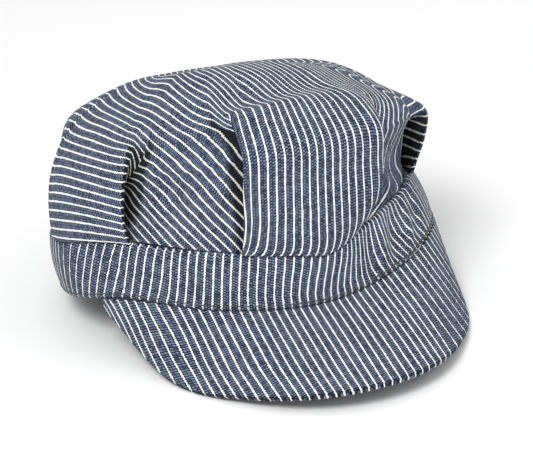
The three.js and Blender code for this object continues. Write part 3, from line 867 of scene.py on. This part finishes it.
def stitch_mesh():
    """A row of stitches above the band's lower edge, with coordinates along and round the thread."""
    angle = np.linspace(0, 2 * np.pi, STITCH_PATH_STEPS + 1)
    _, normal = outline(angle)
    path = band_point(angle, np.full_like(angle, STITCH_UP / BAND_HEIGHT)) + normal * STITCH_STAND
    length = walked(path)
    count = round(length[-1] / STITCH_PITCH)
    pitch = length[-1] / count
    share = np.linspace(-1, 1, STITCH_RINGS)
    sides = STITCH_SIDES
    round_it = np.linspace(0, 2 * np.pi, sides + 1)[:-1, None]
    points, faces, uvs = [], [], []
    for stitch in range(count):
        walk = (stitch + 0.5) * pitch + share * (pitch * STITCH_REACH)
        at = np.stack([np.interp(walk, length, column) for column in path.T], -1)
        outward = unit(np.stack([np.interp(walk, length, column) for column in normal.T], -1))
        tangent = unit(np.gradient(at, axis=0))
        upward = unit(np.cross(outward, tangent))
        middle = np.degrees(np.interp(walk[STITCH_RINGS // 2], length, angle))
        heavy = bump((middle - STITCH_HEAVY["at"]) / STITCH_HEAVY["half"])
        radius = (STITCH_RADIUS + STITCH_HEAVY["more"] * heavy) * np.sqrt(1 - STITCH_TAPER * share**2)
        at = at - outward * (share**2 * STITCH_DIP)[:, None]
        ring = np.cos(round_it) * outward[:, None] + np.sin(round_it) * upward[:, None]
        base = len(points)
        points += list((at[:, None] + ring * radius[:, None, None]).reshape(-1, 3))
        for a in range(STITCH_RINGS - 1):
            for b in range(sides):
                spots = ((a, b), (a, b + 1), (a + 1, b + 1), (a + 1, b))
                faces.append([base + ring * sides + turn % sides for ring, turn in spots])
                uvs += [(walk[ring] * CLOTH_UNIT, turn / sides * CLOTH_UNIT) for ring, turn in spots]
        faces.append([base + b for b in range(sides - 1, -1, -1)])
        faces.append([base + (STITCH_RINGS - 1) * sides + b for b in range(sides)])
        uvs += [(walk[0] * CLOTH_UNIT, 0)] * sides + [(walk[-1] * CLOTH_UNIT, 0)] * sides
    return make_mesh("band_topstitch", np.array(points) * MM, faces, uvs)


# Materials
class Graph:
    """Short calls that add shader nodes."""

    def __init__(self, tree):
        self.tree = tree

    def add(self, kind, **settings):
        node = self.tree.nodes.new(kind)
        for key, value in settings.items():
            setattr(node, key, value)
        return node

    def link(self, value, socket):
        if isinstance(value, bpy.types.NodeSocket):
            self.tree.links.new(value, socket)
        else:
            socket.default_value = value

    def math(self, operation, a, b=0.0, c=0.0, clamp=False):
        node = self.add("ShaderNodeMath", operation=operation, use_clamp=clamp)
        for value, socket in zip((a, b, c), node.inputs):
            self.link(value, socket)
        return node.outputs[0]

    def times(self, a, b, clamp=False):
        return self.math("MULTIPLY", a, b, clamp=clamp)

    def smooth(self, value, low, high, start=0.0, end=1.0):
        node = self.add("ShaderNodeMapRange", interpolation_type="SMOOTHSTEP")
        names = ("Value", "From Min", "From Max", "To Min", "To Max")
        for key, item in zip(names, (value, low, high, start, end)):
            self.link(item, node.inputs[key])
        return node.outputs[0]

    def colour(self, share, a, b, blend="MIX"):
        node = self.add("ShaderNodeMix", data_type="RGBA", blend_type=blend)
        self.link(share, node.inputs[0])
        self.link(a, node.inputs[6])
        self.link(b, node.inputs[7])
        return node.outputs[2]

    def combine(self, x, y, z=0.0):
        node = self.add("ShaderNodeCombineXYZ")
        for value, socket in zip((x, y, z), node.inputs):
            self.link(value, socket)
        return node.outputs[0]

    def cloth(self):
        """The cloth's own two coordinates, in millimetres."""
        split = self.add("ShaderNodeSeparateXYZ")
        self.link(self.add("ShaderNodeUVMap", uv_map="cloth").outputs[0], split.inputs[0])
        return [self.math("DIVIDE", split.outputs[axis], CLOTH_UNIT) for axis in (0, 1)]

    def attribute(self, name):
        node = self.add("ShaderNodeAttribute", attribute_name=name, attribute_type="GEOMETRY")
        return node.outputs["Fac"]

    def from_half(self, value):
        """How far a value's fraction is from a half."""
        return self.math("ABSOLUTE", self.math("SUBTRACT", self.math("FRACT", value), 0.5))

    def noise(self, place, rates, detail=2.0):
        """Noise over the cloth, at a rate for each coordinate."""
        node = self.add("ShaderNodeTexNoise", noise_dimensions="2D")
        scaled = [self.times(value, rate) for value, rate in zip(place, rates)]
        self.link(self.combine(*scaled), node.inputs["Vector"])
        node.inputs["Scale"].default_value = 1.0
        node.inputs["Detail"].default_value = detail
        return node.outputs[0]

    def surface(self, sockets, relief=None):
        """The material's shader, from its inputs and its relief."""
        shader = self.add("ShaderNodeBsdfPrincipled")
        if relief is not None:
            node = self.add("ShaderNodeBump")
            for key, value in relief.items():
                self.link(value, node.inputs[key])
            self.link(node.outputs[0], shader.inputs["Normal"])
        for key, value in sockets.items():
            self.link(value, shader.inputs[key])
        self.link(shader.outputs[0], self.add("ShaderNodeOutputMaterial").inputs[0])


def new_material(name):
    material = bpy.data.materials.new(name)
    material.use_nodes = True
    material.node_tree.nodes.clear()
    return material, Graph(material.node_tree)


def denim(name, dark, light, stripe, stripe_strength=1.0, roughness=0.92):
    """Blue twill with narrow white warp stripes, from the cloth's own coordinates in millimetres."""
    material, g = new_material(name)
    across, down = g.cloth()
    # Slow wander, so that no stripe is quite straight
    wander = g.noise((across, down), (0.02, 0.05))
    shifted = g.math("ADD", across, g.times(g.math("SUBTRACT", wander, 0.5), 0.5))
    # Groups of warp yarns, three to a stripe's pitch, and the picks that cross them in a twill
    place = g.math("DIVIDE", shifted, STRIPE_PITCH)
    yarn = g.math("MULTIPLY_ADD", place, YARNS_PER_STRIPE, 0.5)
    column = g.math("FLOOR", yarn)
    pick = g.math("ADD", g.math("DIVIDE", down, PICK_PITCH), g.times(column, TWILL_STEP))
    fleck = g.add("ShaderNodeTexWhiteNoise", noise_dimensions="2D")
    g.link(g.combine(column, g.math("FLOOR", pick)), fleck.inputs["Vector"])
    # The white stripe's yarn, which each pick nudges to and fro
    sway = g.math("SINE", g.times(down, 2 * math.pi / PICK_PITCH))
    offset = g.math("SUBTRACT", g.math("FRACT", g.math("ADD", place, 0.5)), 0.5)
    offset = g.math("MULTIPLY_ADD", sway, STRIPE_SWAY / STRIPE_PITCH, offset)
    distance = g.times(g.math("ABSOLUTE", offset), STRIPE_PITCH)
    fray = g.times(g.math("SUBTRACT", fleck.outputs[0], 0.5), STRIPE_FRAY)
    edge = g.math("MULTIPLY_ADD", g.attribute("pace"), STRIPE_WIDTH / 2, fray)
    beyond = g.math("SUBTRACT", distance, edge)
    white = g.smooth(beyond, 0.05, -0.05)
    # Light flecks of the filling between dark yarns, with a painted shadow beside each stripe's raised yarn
    filling, warp = g.smooth(g.from_half(pick), 0.34, 0.2), g.smooth(g.from_half(yarn), 0.46, 0.32)
    knot = g.times(filling, warp)
    slub = g.noise((across, down), (0.9, 0.25), detail=3.0)
    cloud = g.noise((across, down), (0.06, 0.06))
    tone = g.times(knot, g.math("MULTIPLY_ADD", fleck.outputs[0], 1.0, 0.3))
    tone = g.math("ADD", tone, g.math("MULTIPLY_ADD", slub, 0.3, -0.15))
    tone = g.math("ADD", tone, g.math("MULTIPLY_ADD", cloud, 0.24, -0.12))
    # Painted shadow: the blue darkens within half a millimetre of a stripe
    tone = g.times(tone, g.smooth(beyond, 0.0, 0.5, 0.35, 1.0), clamp=True)
    blue = g.colour(tone, (*dark, 1), (*light, 1))
    bright = g.math("MULTIPLY_ADD", fleck.outputs[0], -0.14, 1.0)
    yarn_white = g.colour(1.0, (*stripe, 1), g.combine(bright, bright, bright), "MULTIPLY")
    # Painted shade in the folds under and beside the pleats, and at the visor's rim seam
    painted_shade = g.attribute("shade")
    blue = g.colour(g.times(painted_shade, PAINTED_SHADE_BLUE_SHARE), blue, PAINTED_SHADE_BLUE)
    yarn_white = g.colour(g.times(painted_shade, PAINTED_SHADE_WHITE_SHARE), yarn_white, PAINTED_SHADE_WHITE)
    height = g.math("ADD", g.times(knot, 0.6), g.times(white, 0.6))
    sockets = {
        "Base Color": g.colour(g.times(white, stripe_strength), blue, yarn_white),
        "Roughness": roughness,
        "Specular IOR Level": 0.12,
        "Sheen Weight": 0.04,
        "Sheen Roughness": 0.6,
    }
    g.surface(sockets, {"Strength": 0.35, "Distance": 0.25 * MM, "Height": height})
    return material


def thread(name, dark, light):
    """Twisted sewing thread, from coordinates along and round it."""
    material, g = new_material(name)
    walk, turn = g.cloth()
    twist = g.times(walk, 2 * math.pi / THREAD_TWIST)
    phase = g.math("ADD", twist, g.times(turn, 2 * math.pi))
    ply = g.math("MULTIPLY_ADD", g.math("SINE", phase), 0.5, 0.5)
    mottle = g.add("ShaderNodeTexNoise", noise_dimensions="1D")
    mottle.inputs["Scale"].default_value = 0.35
    g.link(walk, mottle.inputs["W"])
    tone = g.times(ply, g.math("MULTIPLY_ADD", mottle.outputs[0], 0.9, 0.3), clamp=True)
    sockets = {
        "Base Color": g.colour(tone, (*dark, 1), (*light, 1)),
        "Roughness": g.math("MULTIPLY_ADD", ply, -0.15, 0.8),
    }
    g.surface(sockets, {"Strength": 0.5, "Distance": 0.1 * MM, "Height": ply})
    return material


def plain(name, colour, roughness):
    material, g = new_material(name)
    g.surface({"Base Color": (*colour, 1), "Roughness": roughness})
    return material


DARK_BLUE = (0.004, 0.008, 0.026)
LIGHT_BLUE = (0.165, 0.212, 0.305)
STRIPE_WHITE = (0.84, 0.86, 0.85)
FACE = denim("striped_denim", DARK_BLUE, LIGHT_BLUE, STRIPE_WHITE)
THREAD = thread("olive_thread", (0.022, 0.026, 0.022), (0.1, 0.115, 0.09))
REVERSE = denim("denim_reverse", (0.16, 0.19, 0.28), (0.4, 0.44, 0.52), (0.8, 0.8, 0.76), 0.8, 0.95)


REST_TURN = Matrix.Rotation(REST_TILT, 3, "X")


def tipped(points):
    """Points of the cap's upright frame, turned as the cap lies."""
    return (np.array(REST_TURN) @ points.T).T


def frame_shift():
    """How far the tipped band is from where the frame has it, from the box of the band's outer face."""
    angle = np.linspace(0, 2 * np.pi, 721)
    faces = [band_point(angle, np.full_like(angle, up)) for up in np.linspace(0, 1, 13)]
    turned = tipped(np.concatenate(faces) * MM)
    low, high = (np.array(corner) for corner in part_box("band"))
    shift = (low + high) / 2 - (turned.min(0) + turned.max(0)) / 2
    shift[2] = high[2] - turned[:, 2].max()
    return shift


SHIFT = frame_shift()


def place(obj):
    """Turn and move a mesh to where the frame has the cap, and flatten what would pass the floor."""
    moved = tipped(np.array([v.co for v in obj.data.vertices])) + SHIFT
    moved[:, 2] = np.maximum(moved[:, 2], 0)
    obj.data.vertices.foreach_set("co", moved.astype(np.float32).ravel())
    obj.data.update()


def dress(obj, node, materials, stands_for=True):
    for material in materials:
        obj.data.materials.append(material)
    place(obj)
    if stands_for:
        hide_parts(node)
    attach(obj, "root")
    return obj


dress(crown_mesh(), "crown", [FACE, REVERSE])
dress(band_mesh(), "band", [FACE, REVERSE])
dress(visor_mesh(), "visor", [FACE, FACE])
dress(stitch_mesh(), "band", [THREAD], stands_for=False)


# Camera, floor and light
def add_camera():
    turn, rise, roll = CAMERA_TURN, CAMERA_RISE, CAMERA_ROLL
    right = Vector((math.cos(turn), -math.sin(turn), 0))
    up = Vector((math.sin(turn) * math.sin(rise), math.cos(turn) * math.sin(rise), math.cos(rise)))
    back = Vector((-math.sin(turn) * math.cos(rise), -math.cos(turn) * math.cos(rise), math.sin(rise)))
    x_axis = right * math.cos(roll) - up * math.sin(roll)
    y_axis = right * math.sin(roll) + up * math.cos(roll)
    axes = [REST_TURN @ axis for axis in (x_axis, y_axis, back)]
    turned = Matrix(axes).transposed()
    camera = bpy.data.cameras.new("camera")
    camera.sensor_width = SENSOR
    camera.sensor_fit = "HORIZONTAL"
    camera.lens = PIXELS_PER_MM * CAMERA_DISTANCE / PICTURE[0] * SENSOR
    camera.shift_x = (PICTURE[0] / 2 - BAND_CENTRE_PIXEL[0]) / PICTURE[0]
    camera.shift_y = -(PICTURE[1] / 2 - BAND_CENTRE_PIXEL[1]) / PICTURE[0]
    camera.clip_end = 20
    obj = add_object("camera", camera)
    centre = Vector(SHIFT)
    obj.matrix_world = Matrix.Translation(centre + axes[2] * CAMERA_DISTANCE * MM) @ turned.to_4x4()
    bpy.context.scene.camera = obj


def add_floor():
    size = 6.0
    mesh = bpy.data.meshes.new("floor")
    corners = [(-size, -size, 0), (size, -size, 0), (size, size, 0), (-size, size, 0)]
    mesh.from_pydata(corners, [], [(0, 1, 2, 3)])
    floor = add_object("floor", mesh)
    mesh.materials.append(plain("pale_floor", (0.86, 0.86, 0.86), 0.9))
    floor.location.z = -0.0002


def add_light(name, place, size, power):
    light = bpy.data.lights.new(name, "AREA")
    light.size = size
    light.energy = power
    obj = add_object(name, light)
    obj.location = place
    obj.rotation_euler = (Vector((0, 0, 0.05)) - Vector(place)).to_track_quat("-Z", "Y").to_euler()


def add_world():
    world = bpy.data.worlds.new("studio")
    world.use_nodes = True
    background = world.node_tree.nodes["Background"]
    background.inputs[0].default_value = (1, 1, 1, 1)
    background.inputs[1].default_value = 0.8
    bpy.context.scene.world = world


add_camera()
add_floor()
add_light("key", (-0.9, -1.2, 1.5), 0.8, 30)
add_light("fill", (1.2, -1.2, 0.9), 1.2, 6)
add_world()
bpy.context.scene.view_settings.view_transform = "Standard"
